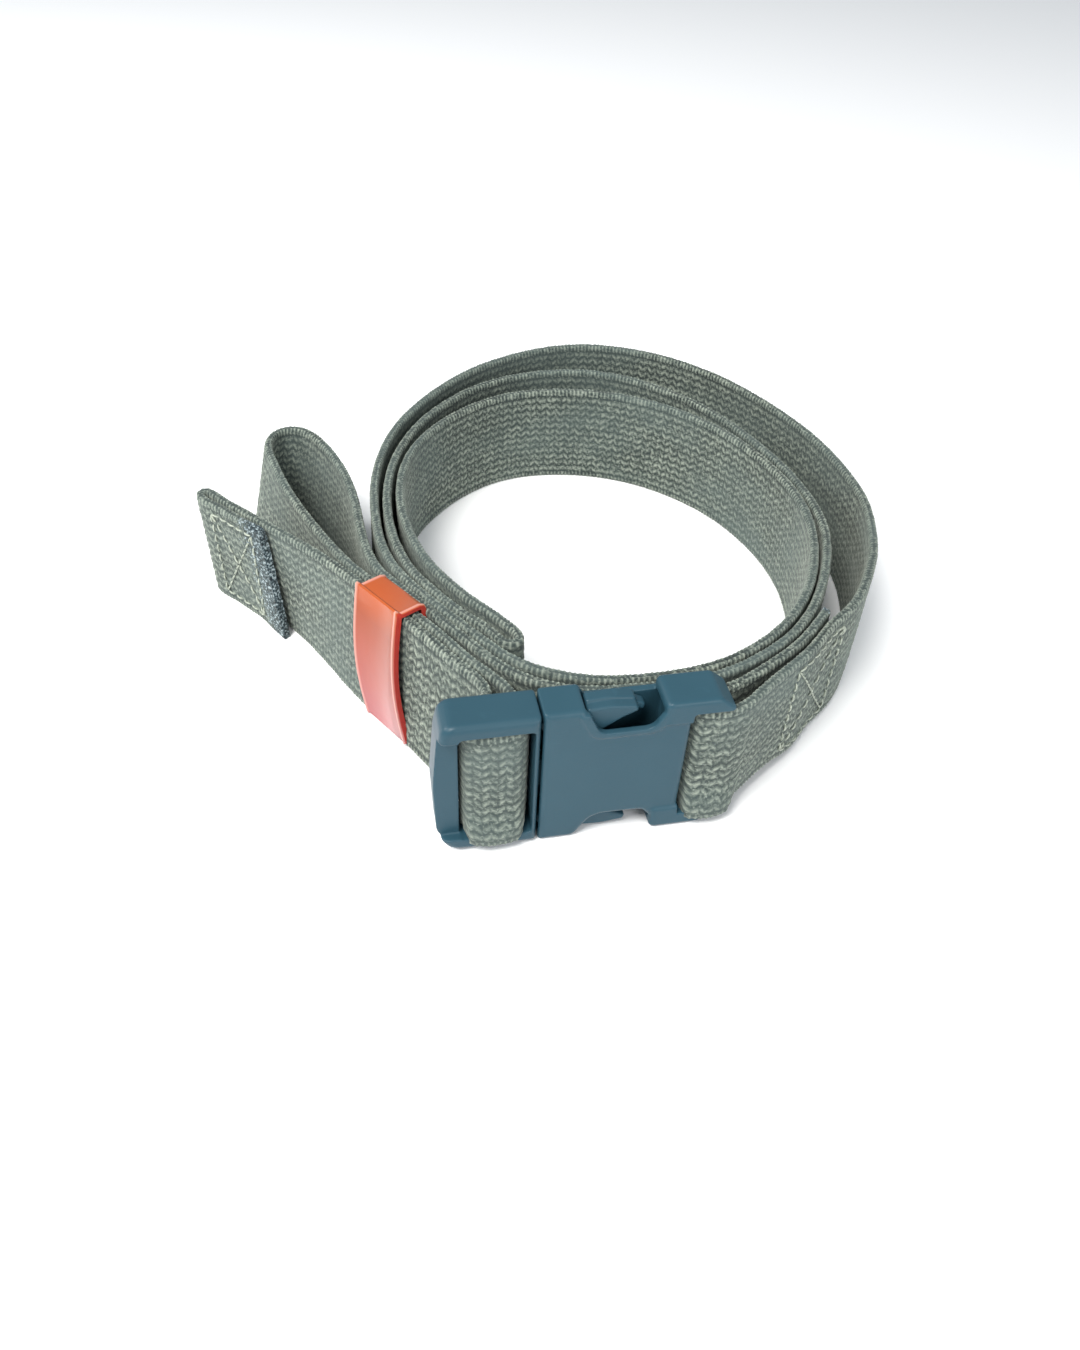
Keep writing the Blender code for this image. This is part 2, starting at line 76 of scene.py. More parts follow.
# The strap's centreline seen from above, from its sewn end to its hem. It is the CAD model's, drawn
# looser round the latch's bar, along the tail and at the hem.
ROUTE = (
    ("sewn_end", ((46.3, -49.6), (44.8, -51.2), (38.4, -57.4), (30.9, -62.4), (24.4, -66.0))),
    ("rear_bar_wrap", ((19.4, -67.75), (16.4, -67.8), (14.1, -68.6), (13.25, -70.5), (14.0, -72.5),
                       (16.6, -73.3))),
    ("sewn_strap", ((19.4, -73.2), (22.9, -71.8), (26.4, -69.2), (32.0, -65.2), (39.7, -59.4),
                    (46.3, -53.2))),
    ("outer_turn", ((50.6, -50.0), (55.4, -45.2), (60.4, -38.3), (64.9, -30.6), (68.2, -22.8),
                    (71.9, -11.0), (73.12, 1.5), (72.2, 14.5), (69.3, 27.0), (65.0, 38.4), (59.6, 48.8),
                    (53.2, 57.6), (45.6, 64.9), (36.4, 70.5), (26.4, 73.4), (16.0, 73.0), (5.2, 69.4),
                    (-5.0, 63.6), (-13.6, 56.2), (-21.2, 47.4), (-27.2, 38.2), (-31.4, 28.6),
                    (-34.3, 18.4), (-35.9, 8.0))),
    ("inner_front_run", ((-36.3, -2.0), (-36.0, -11.0), (-34.7, -19.2), (-32.7, -25.4), (-30.3, -30.6),
                         (-26.5, -37.5), (-23.0, -43.6), (-20.0, -48.7), (-16.7, -53.6), (-12.3, -57.8),
                         (-7.0, -60.7), (-1.5, -62.4), (4.0, -63.0), (11.0, -63.0))),
    ("inner_turn", ((17.5, -62.2), (23.0, -60.7), (29.0, -57.9), (35.3, -53.6), (41.2, -47.8),
                    (46.8, -40.2), (51.5, -31.2), (55.2, -21.2), (57.2, -11.0), (57.3, 0.5),
                    (55.0, 12.0), (50.6, 23.0), (45.0, 31.6), (38.0, 38.8), (29.5, 44.4), (20.0, 47.9),
                    (10.0, 49.2), (-0.4, 47.8), (-10.4, 42.6), (-19.0, 34.8), (-25.8, 24.6),
                    (-29.4, 13.4), (-30.5, 2.0), (-29.6, -10.0), (-27.2, -21.0), (-23.8, -29.4))),
    ("inner_fold", ((-20.4, -35.8), (-17.4, -40.4), (-15.0, -44.6), (-13.6, -48.2), (-14.1, -50.1),
                    (-15.7, -50.1), (-17.7, -47.4))),
    ("return_turn", ((-20.8, -42.5), (-23.2, -39.0), (-27.0, -32.0), (-30.3, -24.6), (-32.3, -16.6),
                     (-33.4, -8.0), (-33.6, 1.0), (-32.8, 10.0), (-30.7, 19.4), (-27.0, 29.0),
                     (-22.0, 38.0), (-15.2, 46.2), (-6.8, 53.2), (2.8, 57.6), (13.0, 59.4), (22.6, 58.6),
                     (31.0, 55.2), (38.0, 49.9), (43.8, 43.8), (49.0, 36.2), (53.2, 27.4), (56.8, 16.4),
                     (59.4, 5.0), (60.0, -7.0), (58.6, -19.0), (55.0, -29.6), (50.0, -39.4),
                     (44.0, -48.2), (37.0, -55.4), (29.8, -60.2))),
    ("outer_front_run", ((22.6, -63.4), (16.5, -64.9), (10.0, -65.3), (3.0, -65.3), (-3.2, -64.8),
                         (-9.2, -63.1), (-14.4, -60.0), (-18.9, -55.0), (-23.0, -48.1), (-26.0, -42.9),
                         (-29.3, -36.9), (-33.2, -29.9), (-37.0, -22.6))),
    ("slack_loop", ((-39.0, -13.6), (-39.8, -4.0), (-40.3, 5.5), (-41.7, 15.8), (-44.3, 25.6),
                    (-47.6, 33.2), (-51.2, 37.2), (-55.0, 37.6), (-57.8, 34.4), (-58.4, 29.6),
                    (-57.4, 23.6), (-55.3, 14.4), (-52.2, 4.6), (-48.8, -4.8))),
    ("standing_part", ((-45.9, -12.2), (-43.0, -18.9), (-40.0, -24.4), (-35.9, -31.4), (-31.9, -38.3),
                       (-28.4, -44.3), (-26.0, -48.9), (-22.9, -54.6), (-19.0, -60.4))),
    ("latch_bar_wrap", ((-17.0, -65.2), (-16.5, -68.6), (-16.8, -70.9), (-18.0, -72.7), (-20.6, -73.3),
                        (-23.8, -73.3), (-26.2, -72.3), (-27.0, -69.8))),
    ("tail", ((-25.2, -66.2), (-21.8, -63.0), (-22.6, -59.2), (-25.4, -54.4), (-29.2, -47.6),
              (-33.7, -39.35),
              (-37.75, -32.4), (-41.8, -25.5), (-45.9, -19.0), (-50.1, -13.0), (-54.6, -7.2),
              (-59.7, -1.05), (-64.8, 5.05))),
    ("hem_flap", ((-69.6, 10.8), (-71.2, 12.75), (-71.9, 13.15), (-72.6, 12.95), (-73.05, 12.2),
                  (-72.85, 11.1), (-69.8, 7.35), (-66.6, 3.5), (-61.5, -2.6), (-57.3, -7.7))),
)

# ---------------------------------------------------------------- weave

COLUMN = 1.32               # one arm of the zigzag, along the strap
STATIONS_PER_COLUMN = 4
BEAD_STATIONS = 3           # one bead of the selvedge
SELVEDGE = 1.6              # the plain band at each edge of the face
ROWS = 12
ZIGZAG = 0.95               # how far the zigzag rises over one arm
YARN_RELIEF = 0.20
BEAD_RELIEF = 0.17
ZIGZAG_FROM_EDGE = 1.5      # no zigzag nearer to the strap's edges
FACE_INSET = 0.06           # the face without its relief lies inside the strap's thickness
YARN_SPREAD = 0.22          # how uneven the relief is from yarn to yarn
WOBBLE = 0.022              # how uneven it is from point to point
SWELL = 0.06                # slow waves over the whole strap


def smoothstep(t):
    t = np.clip(t, 0.0, 1.0)
    return t * t * (3.0 - 2.0 * t)


def lift(y):
    return LIFT * smoothstep((LIFT_FROM_Y - y) / (LIFT_FROM_Y - LIFT_TO_Y))


PROBE = 0.05                # how far ahead and behind a direction is measured


class Route:
    """A natural cubic spline through points in the plan, measured by its length."""

    def __init__(self, points):
        self.points = np.array(points, float)
        steps = np.linalg.norm(np.diff(self.points, axis=0), axis=1)
        self.knots = np.concatenate([[0.0], np.cumsum(steps)])
        count = len(self.points)
        system = np.eye(count)
        right = np.zeros((count, 2))
        for i in range(1, count - 1):
            before, after = steps[i - 1], steps[i]
            system[i, i - 1 : i + 2] = before, 2.0 * (before + after), after
            rise_after = (self.points[i + 1] - self.points[i]) / after
            rise_before = (self.points[i] - self.points[i - 1]) / before
            right[i] = 6.0 * (rise_after - rise_before)
        self.bend = np.linalg.solve(system, right)
        fine = np.linspace(0.0, self.knots[-1], 40 * count)
        run = np.linalg.norm(np.diff(self.at_knot(fine), axis=0), axis=1)
        self.fine, self.run = fine, np.concatenate([[0.0], np.cumsum(run)])

    def at_knot(self, t):
        i = np.clip(np.searchsorted(self.knots, t) - 1, 0, len(self.knots) - 2)
        low, high = self.knots[i], self.knots[i + 1]
        span = (high - low)[..., None]
        a = (high - t)[..., None] / span
        b = 1.0 - a
        curve = (a**3 - a) * self.bend[i] + (b**3 - b) * self.bend[i + 1]
        return a * self.points[i] + b * self.points[i + 1] + curve * span**2 / 6.0

    def at(self, length):
        """(points, unit normals to the left of travel) at these lengths along the route."""
        length = np.clip(length, PROBE, self.run[-1] - PROBE)
        here = self.at_knot(np.interp(length, self.run, self.fine))
        ahead = self.at_knot(np.interp(length + PROBE, self.run, self.fine))
        behind = self.at_knot(np.interp(length - PROBE, self.run, self.fine))
        along = ahead - behind
        along /= np.linalg.norm(along, axis=-1)[..., None]
        return here, np.stack([-along[..., 1], along[..., 0]], axis=-1)


route = Route([p for _, points in ROUTE for p in points])
section_start = {}
point_count = 0
for section, section_points in ROUTE:
    section_start[section] = float(np.interp(route.knots[point_count], route.fine, route.run))
    point_count += len(section_points)
route_end = float(route.run[-1])

# How far the lower edge stands off: of the slack loop, of the tail near the keeper and of its tip.
LOOP_LEAN = np.array((-6.0, -0.8))
TAIL_LEAN = np.array((-3.4, -2.9))
TIP_LEAN = np.array((0.7, -1.3))
LEAN_STARTS, LEAN_GROWS_OVER = 2.0, 14.0        # lengths along the tail, from the latch
LEAN_ENDS, LEAN_FADES_OVER = 42.0, 40.0
TIP_STARTS, TIP_GROWS_OVER = 50.0, 35.0
HEM_LEAN, HEM_OVER = 0.35, 12.0                 # the flap leans too, as a share of TAIL_LEAN
HEM_SLANT, SLANT_OVER = 4.6, 16.0               # the flap is cut at a slant

# In front of the buckle's bars the lower edge bellies out. Where the strap is lifted, it sags.
FRONT_Y, FRONT_OVER = -71.4, 1.3
BULGE, BULGE_BELOW, BULGE_OVER = 1.5, 8.0, 6.0
SAG_Y, SAG_OVER = -66.0, 8.0
SAG_SHARE, FRONT_SAG_SHARE = 0.8, 0.5           # of the lift


def tail_lean(lengths):
    """How far the tail leans, as a share of TAIL_LEAN, at these lengths along the strap."""
    from_latch = lengths - section_start["tail"]
    grown = smoothstep((from_latch - LEAN_STARTS) / LEAN_GROWS_OVER)
    return grown * (1.0 - smoothstep((from_latch - LEAN_ENDS) / LEAN_FADES_OVER))


def strap_points(lengths, side, height):
    """Points of the strap, in metres.

    lengths run along it, side across its thickness and height up its width, all in millimetres.
    """
    places, normals = route.at(lengths)
    y = places[..., 1]
    low = (1.0 - height / STRAP_WIDTH)[..., None]
    loop = smoothstep(1.0 - np.linalg.norm(places - np.array(LOOP_CENTRE), axis=-1) / LOOP_REACH)
    loop = loop * (lengths < section_start["standing_part"])
    tip = smoothstep((lengths - section_start["tail"] - TIP_STARTS) / TIP_GROWS_OVER)
    hem = smoothstep((lengths - route_end + HEM_OVER) / HEM_OVER)
    plan = places + normals * side[..., None]
    plan = plan + LOOP_LEAN * loop[..., None] * low
    plan = plan + TAIL_LEAN * (tail_lean(lengths) + HEM_LEAN * hem)[..., None] * low
    plan = plan + TIP_LEAN * tip[..., None] * low
    front = smoothstep((FRONT_Y - y) / FRONT_OVER)
    plan[..., 1] -= BULGE * front * smoothstep((BULGE_BELOW - height) / BULGE_OVER)
    raised = lift(y)
    sag = np.maximum(smoothstep((y - SAG_Y) / SAG_OVER) * SAG_SHARE, front * FRONT_SAG_SHARE) * raised
    z = raised - sag * (1.0 - height / STRAP_WIDTH) + height
    return np.stack([plan[..., 0], plan[..., 1], z], axis=-1) * MM


def link(obj):
    bpy.context.scene.collection.objects.link(obj)
    return obj


def mesh_object(name, vertices, faces, material, smooth=True):
    mesh = bpy.data.meshes.new(name)
    mesh.from_pydata(vertices, [], faces)
    mesh.validate()
    mesh.update()
    if smooth:
        mesh.shade_smooth()
    obj = bpy.data.objects.new(name, mesh)
    mesh.materials.append(material)
    return link(obj)


def add_attribute(obj, name, values, vector=False):
    kind, field = ("FLOAT_VECTOR", "vector") if vector else ("FLOAT", "value")
    attribute = obj.data.attributes.new(name, kind, "POINT")
    attribute.data.foreach_set(field, values.astype(np.float32).ravel())


def face_outwards(obj):
    bm = bmesh.new()
    bm.from_mesh(obj.data)
    bmesh.ops.recalc_face_normals(bm, faces=bm.faces)
    bm.to_mesh(obj.data)
    bm.free()


def section_profile():
    """The strap's section, once round: arrays of side, height, outward direction (two) and kind.

    Kind 0 is a valley, 1 the top of a yarn row, 2 a bead of the selvedge and 3 the strap's narrow edge.
    """
    half = STRAP_THICKNESS / 2
    low, high = SELVEDGE, STRAP_WIDTH - SELVEDGE
    heights = np.linspace(low, high, 2 * ROWS + 1)
    points = []
    for i, h in enumerate(heights):
        points.append((half - FACE_INSET, h, 1.0, 0.0, i % 2))
    edge = (
        (half - 0.02, 1.05, 1.0, 0.25, 2),
        (half - 0.12, 0.45, 0.85, 0.55, 2),
        (half - 0.42, 0.06, 0.45, 0.9, 2),
        (0.0, 0.22, 0.0, 1.0, 3),
    )
    for side, h, ns, nh, kind in edge:
        points.append((side, STRAP_WIDTH - h, ns, nh, kind))
    for side, h, ns, nh, kind in edge[-2::-1]:
        points.append((-side, STRAP_WIDTH - h, -ns, nh, kind))
    for i, h in enumerate(heights[::-1]):
        points.append((-half + FACE_INSET, h, -1.0, 0.0, i % 2))
    for side, h, ns, nh, kind in edge:
        points.append((-side, h, -ns, -nh, kind))
    for side, h, ns, nh, kind in edge[-2::-1]:
        points.append((side, h, ns, -nh, kind))
    return [np.array(column, float) for column in zip(*points)]


def webbing(name, start, end, material, cut_start=0.0, cut_end=0.0):
    """A stretch of woven strap. cut_start and cut_end are how far a dyed cut end reaches, in mm."""
    step = COLUMN / STATIONS_PER_COLUMN
    first, last = math.floor(start / step) + 1, math.ceil(end / step) - 1
    index = np.arange(first, last + 1)
    lengths = index * step
    lengths = lengths[(lengths > start + 0.3 * step) & (lengths < end - 0.3 * step)]
    lengths = np.concatenate([[start], lengths, [end]])
    phase = lengths / COLUMN
    zigzag = (np.abs((phase / 2) % 1.0 - 0.5) * 2 - 0.5) * ZIGZAG
    arm = np.abs(np.sin(math.pi * phase)) ** 0.6
    side, height, out_side, out_height, kind = section_profile()

    S, H = np.tile(side, (len(lengths), 1)), np.tile(height, (len(lengths), 1))
    L = np.tile(lengths[:, None], (1, len(side)))
    seed = np.random.default_rng(int(start * 10) + 7)
    wobble = seed.normal(0.0, WOBBLE, L.shape)
    on_row = kind == 1
    relief = np.zeros(L.shape)
    cells = seed.uniform(-YARN_SPREAD, YARN_SPREAD, (int(phase[-1]) + 3, len(side)))[phase.astype(int)]
    relief[:, on_row] = (0.42 + 0.58 * arm)[:, None] + cells[:, on_row]
    valleys = kind == 0
    relief[:, valleys] = 0.10 * cells[:, valleys] + 0.12 * (1.0 - arm)[:, None]
    beads = kind == 2
    count = np.round(lengths / step).astype(int)
    bead = np.where((count[:, None] + (side > 0)[None, :]) % BEAD_STATIONS == 0, 1.0, 0.25)
    relief[:, beads] = (bead + 1.3 * cells)[:, beads] * 1.05
    rise = np.where(on_row, YARN_RELIEF, np.where(beads, BEAD_RELIEF, 0.0))[None, :] * relief
    rise = rise - np.where(beads, 0.4 * BEAD_RELIEF, 0.03)[None, :] + wobble
    from_edge = STRAP_WIDTH / 2 - np.abs(height - STRAP_WIDTH / 2)
    taper = np.where(kind < 2, smoothstep((from_edge - ZIGZAG_FROM_EDGE) / SELVEDGE), 0.0)
    H = H + zigzag[:, None] * taper[None, :] + rise * out_height[None, :]
    S = S + rise * out_side[None, :]
    if cut_end:
        L = L - HEM_SLANT * H / STRAP_WIDTH * smoothstep((L - end + SLANT_OVER) / SLANT_OVER)
    slow = SWELL * np.sin(L * 0.13 + 0.6) * np.sin(H * 0.21 + L * 0.031)
    points = strap_points(L, S + slow, H)

    n, m = L.shape
    faces = []
    for i in range(n - 1):
        a, b = i * m, (i + 1) * m
        for j in range(m):
            k = (j + 1) % m
            faces.append((a + j, a + k, b + k, b + j))
    faces.append(tuple(range(m - 1, -1, -1)))
    faces.append(tuple((n - 1) * m + j for j in range(m)))
    obj = mesh_object(name, points.reshape(-1, 3), faces, material)
    obj.data.set_sharp_from_angle(angle=math.radians(75))
    bm = bmesh.new()
    bm.from_mesh(obj.data)
    if bm.calc_volume(signed=True) < 0:
        bmesh.ops.reverse_faces(bm, faces=bm.faces)
        bm.to_mesh(obj.data)
    bm.free()

    cut = np.zeros(L.shape)
    if cut_start:
        cut = np.maximum(cut, 1.0 - np.clip((L - start) / cut_start, 0, 1))
    if cut_end:
        edge = end - HEM_SLANT * H / STRAP_WIDTH
        cut = np.maximum(cut, 1.0 - np.clip((edge - L) / cut_end, 0, 1))
    add_attribute(obj, "relief", relief)
    add_attribute(obj, "cut", cut)
    add_attribute(obj, "strap", np.stack([L, H, S], axis=-1), vector=True)
    return obj


# ---------------------------------------------------------------- materials


class Nodes:
    """A material's node tree, with short calls for what is used here."""

    def __init__(self, name):
        self.material = bpy.data.materials.new(name)
        self.material.use_nodes = True
        self.tree = self.material.node_tree
        self.shader = self.tree.nodes["Principled BSDF"]

    def add(self, kind, settings=None, **inputs):
        node = self.tree.nodes.new(kind)
        for key, value in (settings or {}).items():
            setattr(node, key, value)
        for key, value in inputs.items():
            self.set(node.inputs[key.replace("_", " ")], value)
        return node

    def set(self, socket, value):
        if isinstance(value, bpy.types.NodeSocket):
            self.tree.links.new(value, socket)
        else:
            socket.default_value = value

    def attribute(self, name):
        return self.add("ShaderNodeAttribute", {"attribute_name": name})

    def noise(self, vector, scale, detail=2.0):
        return self.add("ShaderNodeTexNoise", Vector=vector, Scale=scale, Detail=detail).outputs["Fac"]

    def surface(self, **inputs):
        for key, value in inputs.items():
            self.set(self.shader.inputs[key.replace("_", " ")], value)

    def scaled(self, vector, scale):
        return self.add("ShaderNodeMapping", Vector=vector, Scale=scale).outputs["Vector"]

    def mix(self, factor, first, second):
        node = self.add("ShaderNodeMix", {"data_type": "RGBA"})
        self.set(node.inputs[0], factor)
        self.set(node.inputs[6], first)
        self.set(node.inputs[7], second)
        return node.outputs[2]

    def ramp(self, value, *stops):
        node = self.add("ShaderNodeValToRGB")
        self.set(node.inputs["Fac"], value)
        elements = node.color_ramp.elements
        while len(elements) < len(stops):
            elements.new(0.5)
        for element, (position, colour) in zip(elements, stops):
            element.position = position
            element.color = (*colour, 1.0) if len(colour) == 3 else colour
        return node.outputs["Color"]

    def math(self, operation, first, second):
        node = self.add("ShaderNodeMath", {"operation": operation})
        self.set(node.inputs[0], first)
        self.set(node.inputs[1], second)
        return node.outputs[0]

    def bump(self, height, distance, strength):
        node = self.add("ShaderNodeBump", Height=height, Distance=distance, Strength=strength)
        return node.outputs["Normal"]


BLACK, WHITE = (0.0, 0.0, 0.0), (1.0, 1.0, 1.0)


def grey(level):
    return (level, level, level)


def webbing_material():
    """Yarn toned by its relief: painted shade in its valleys and a painted highlight on the tops of its
    rows and beads, with flecks, worn patches and a dyed cut end.
    """
    n = Nodes("olive_webbing")
    strap = n.attribute("strap").outputs["Vector"]
    relief = n.attribute("relief").outputs["Fac"]
    cut = n.attribute("cut").outputs["Fac"]
    fibre = n.noise(n.scaled(strap, (2.2, 9.0, 6.0)), 1.0, 3.0)
    speckle = n.noise(n.scaled(strap, (1.7, 2.0, 1.5)), 1.0, 2.0)
    patch = n.noise(n.scaled(strap, (0.035, 0.07, 0.05)), 1.0, 2.0)
    # The relief paints shade into the valleys and a highlight onto the rows and beads; the fibre noise
    # is the yarn's own variation.
    level = n.math("ADD", n.math("MULTIPLY", relief, 0.74), n.math("MULTIPLY", fibre, 0.42))
    yarn = n.ramp(
        level,
        (0.20, (0.013, 0.019, 0.019)),
        (0.44, (0.062, 0.078, 0.069)),
        (0.74, (0.164, 0.192, 0.160)),
        (1.0, (0.304, 0.336, 0.280)),
    )
    pale = n.ramp(speckle, (0.54, BLACK), (0.74, grey(0.70)))
    yarn = n.mix(pale, yarn, (0.32, 0.36, 0.30, 1.0))
    dark = n.ramp(speckle, (0.28, grey(0.85)), (0.46, BLACK))
    yarn = n.mix(dark, yarn, (0.022, 0.032, 0.034, 1.0))
    worn = n.ramp(patch, (0.35, BLACK), (0.7, grey(0.5)))
    yarn = n.mix(worn, yarn, (0.095, 0.128, 0.122, 1.0))
    fleck = n.noise(n.scaled(strap, (1.6, 2.0, 2.0)), 1.0, 2.0)
    dye = n.ramp(
        fleck,
        (0.38, (0.010, 0.016, 0.021)),
        (0.54, (0.060, 0.088, 0.100)),
        (0.68, (0.36, 0.43, 0.45)),
    )
    reach = n.math("ADD", cut, n.math("MULTIPLY", n.math("SUBTRACT", fleck, 0.5), 1.1))
    yarn = n.mix(n.ramp(reach, (0.22, BLACK), (0.60, WHITE)), yarn, dye)
    n.surface(
        Base_Color=yarn,
        Roughness=0.88,
        Specular_IOR_Level=0.25,
        Sheen_Weight=0.18,
        Sheen_Roughness=0.5,
        Sheen_Tint=(0.85, 0.9, 0.8, 1.0),
        Normal=n.bump(fibre, 0.00012, 0.6),
    )
    return n.material


def plastic_material(name, dark, light, roughness=0.36):
    """Moulded plastic: a fine grain, a slow change of tone and faint rubbed scratches."""
    n = Nodes(name)
    place = n.add("ShaderNodeTexCoord").outputs["Object"]
    grain = n.noise(place, 2600.0, 2.0)
    slow = n.noise(place, 60.0, 3.0)
    scratch = n.noise(n.scaled(place, (300.0, 300.0, 4200.0)), 1.0, 2.0)
    tone = n.mix(slow, (*dark, 1.0), (*light, 1.0))
    worn = n.ramp(scratch, (0.66, BLACK), (0.80, grey(0.22)))
    rubbed = tuple(1.5 * c for c in light) + (1.0,)
    rough = n.add("ShaderNodeMapRange", Value=slow, To_Min=roughness - 0.06, To_Max=roughness + 0.08)
    n.surface(
        Base_Color=n.mix(worn, tone, rubbed),
        Roughness=rough.outputs["Result"],
        Specular_IOR_Level=0.24,
        Normal=n.bump(grain, 0.00003, 0.35),
    )
    return n.material


def keeper_material():
    """Orange-red plastic, with a painted reflection that pales it towards the table, a painted highlight
    on its rims and painted shade, deeper red, on its cut edges and inner face.
    """
    n = Nodes("keeper_plastic")
    place = n.add("ShaderNodeTexCoord").outputs["Object"]
    height = n.add("ShaderNodeSeparateXYZ", Vector=place).outputs["Z"]
    slow = n.noise(place, 90.0, 2.0)
    painted_reflection_fade = n.add("ShaderNodeMapRange", Value=height, From_Min=0.0, From_Max=0.030)
    # Pale pink near the table is a painted reflection; higher up the ramp runs to deeper red, then
    # orange at the cap.
    tone = n.ramp(
        painted_reflection_fade.outputs["Result"],
        (0.0, (0.41, 0.138, 0.148)),
        (0.35, (0.36, 0.104, 0.090)),
        (0.80, (0.27, 0.060, 0.026)),
        (1.0, (0.41, 0.078, 0.011)),
    )
    edge = n.attribute("edge").outputs["Fac"]
    # Painted highlight: the raised rims are made paler where edge is 1.
    rim = n.math("MULTIPLY", n.math("MAXIMUM", edge, 0.0), 0.45)
    tone = n.mix(rim, tone, (0.80, 0.46, 0.40, 1.0))
    # Painted shade: where edge is -1, at the cut ends and on the inner face, the keeper is made deeper
    # red.
    painted_edge_shade = n.math("MULTIPLY", n.math("MINIMUM", edge, 0.0), -0.9)
    tone = n.mix(painted_edge_shade, tone, (0.42, 0.022, 0.018, 1.0))
    n.surface(
        Base_Color=n.mix(n.math("MULTIPLY", slow, 0.15), tone, (0.52, 0.18, 0.13, 1.0)),
        Roughness=0.20,
        Specular_IOR_Level=0.25,
        Coat_Weight=0.12,
        Coat_Roughness=0.06,
        Subsurface_Weight=0.08,
        Subsurface_Radius=(0.002, 0.0006, 0.0004),
        Normal=n.bump(n.noise(place, 500.0, 2.0), 0.00004, 0.25),
    )
    return n.material


def thread_material():
    """Pale twisted thread."""
    n = Nodes("sewing_thread")
    place = n.add("ShaderNodeTexCoord").outputs["Object"]
    twist = n.noise(n.scaled(place, (3500.0, 3500.0, 1800.0)), 1.0, 1.0)
    tone = n.ramp(twist, (0.3, (0.23, 0.26, 0.21)), (0.7, (0.46, 0.50, 0.42)))
    n.surface(Base_Color=tone, Roughness=0.7, Normal=n.bump(twist, 0.0001, 0.5))
    return n.material


WEBBING = webbing_material()
SOCKET_PLASTIC = plastic_material("socket_plastic", (0.018, 0.056, 0.080), (0.026, 0.072, 0.098))
LATCH_PLASTIC = plastic_material("latch_plastic", (0.017, 0.053, 0.076), (0.025, 0.068, 0.093), 0.38)
KEEPER_PLASTIC = keeper_material()
THREAD = thread_material()

# ---------------------------------------------------------------- strap

LATCH_BODY, SOCKET_BODY = "strap_and_latch", "socket"

for name, first, after, nodes in (
    ("inner_webbing", "inner_front_run", "inner_fold", ("inner_front_run", "inner_turn")),
    ("return_webbing", "inner_fold", "outer_front_run", ("inner_fold", "return_turn")),
):
    inner = webbing(name, section_start[first], section_start[after], WEBBING)
    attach(inner, LATCH_BODY)
    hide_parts(*nodes)

tail = webbing("tail_webbing", section_start["outer_front_run"], route_end, WEBBING, cut_end=9.0)
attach(tail, LATCH_BODY)
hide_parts("outer_front_run", "slack_loop", "standing_part", "latch_bar_wrap", "tail", "hem_flap")

sewn = webbing("sewn_webbing", 0.0, section_start["outer_turn"], WEBBING, cut_start=1.3)
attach(sewn, SOCKET_BODY)
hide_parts("sewn_end", "rear_bar_wrap", "sewn_strap")

outer_end = section_start["inner_front_run"]
outer = webbing("outer_webbing", section_start["outer_turn"], outer_end, WEBBING)
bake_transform(outer)
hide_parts("outer_turn")

# ---------------------------------------------------------------- sewing


THREAD_RADIUS = 0.2
THREAD_SIDES = 6
STITCH_PITCH = 2.5
STITCH_POINTS = 7
STITCH_BOW = 0.26           # how far a stitch stands off the webbing in its middle
SEAM_MARGIN = 2.4           # from the strap's edges


def thread(vertices, faces, path):
    """Adds a round-ended thread along a path of points to the lists of vertices and faces."""
    path = np.array(path, float)
    along = np.gradient(path, axis=0)
    along /= np.linalg.norm(along, axis=1)[:, None]
    across = np.cross(along, (0.31, 0.22, 0.93))
    across /= np.linalg.norm(across, axis=1)[:, None]
    third = np.cross(along, across)
    share = np.linspace(0.0, 1.0, len(path))
    girth = THREAD_RADIUS * MM * np.sqrt(np.clip(1.0 - (2.0 * share - 1.0) ** 6, 0.04, 1.0))
    base = len(vertices)
    for i in range(len(path)):
        for j in range(THREAD_SIDES):
            angle = 2 * math.pi * j / THREAD_SIDES
            spoke = math.cos(angle) * across[i] + math.sin(angle) * third[i]
            vertices.append(path[i] + girth[i] * spoke)
    for i in range(len(path) - 1):
        for j in range(THREAD_SIDES):
            k = (j + 1) % THREAD_SIDES
            a, b = base + i * THREAD_SIDES, base + (i + 1) * THREAD_SIDES
            faces.append((a + j, a + k, b + k, b + j))
    faces.append(tuple(base + j for j in range(THREAD_SIDES - 1, -1, -1)))
    last = base + (len(path) - 1) * THREAD_SIDES
    faces.append(tuple(last + j for j in range(THREAD_SIDES)))


def stitching(name, start, end, side, body, node):
    """A box with a cross in it, in dashes of thread on one face of the strap."""
    low, high = SEAM_MARGIN, STRAP_WIDTH - SEAM_MARGIN
    corners = {
        "a": (start, low),
        "b": (end, low),
        "c": (end, high),
        "d": (start, high),
    }
    vertices, faces = [], []
    for first, second in ("ab", "bc", "cd", "da", "ac", "db"):
        p, q = np.array(corners[first]), np.array(corners[second])
        count = max(3, round(float(np.linalg.norm(q - p)) / STITCH_PITCH))
        for i in range(count):
            t = np.linspace((i + 0.10) / count, (i + 0.90) / count, STITCH_POINTS)
            run = p[None, :] + (q - p)[None, :] * t[:, None]
            bow = np.sin(np.linspace(0.0, math.pi, STITCH_POINTS)) * STITCH_BOW
            out = side * (STRAP_THICKNESS / 2 + 0.02 + bow)
            thread(vertices, faces, strap_points(run[:, 0], out, run[:, 1]))
    obj = mesh_object(name, [tuple(v) for v in vertices], faces, THREAD)
    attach(obj, body)
    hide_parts(node)


sewn_to = section_start["outer_turn"]
stitching("tab_stitches", sewn_to - 20.5, sewn_to - 2.0, -1, SOCKET_BODY, "tab_box_stitch")
stitching("hem_stitches", route_end - 20.5, route_end - 7.0, -1, LATCH_BODY, "hem_box_stitch")

# ---------------------------------------------------------------- buckle


ARC_STEPS = 6
RIM_STEPS = 4


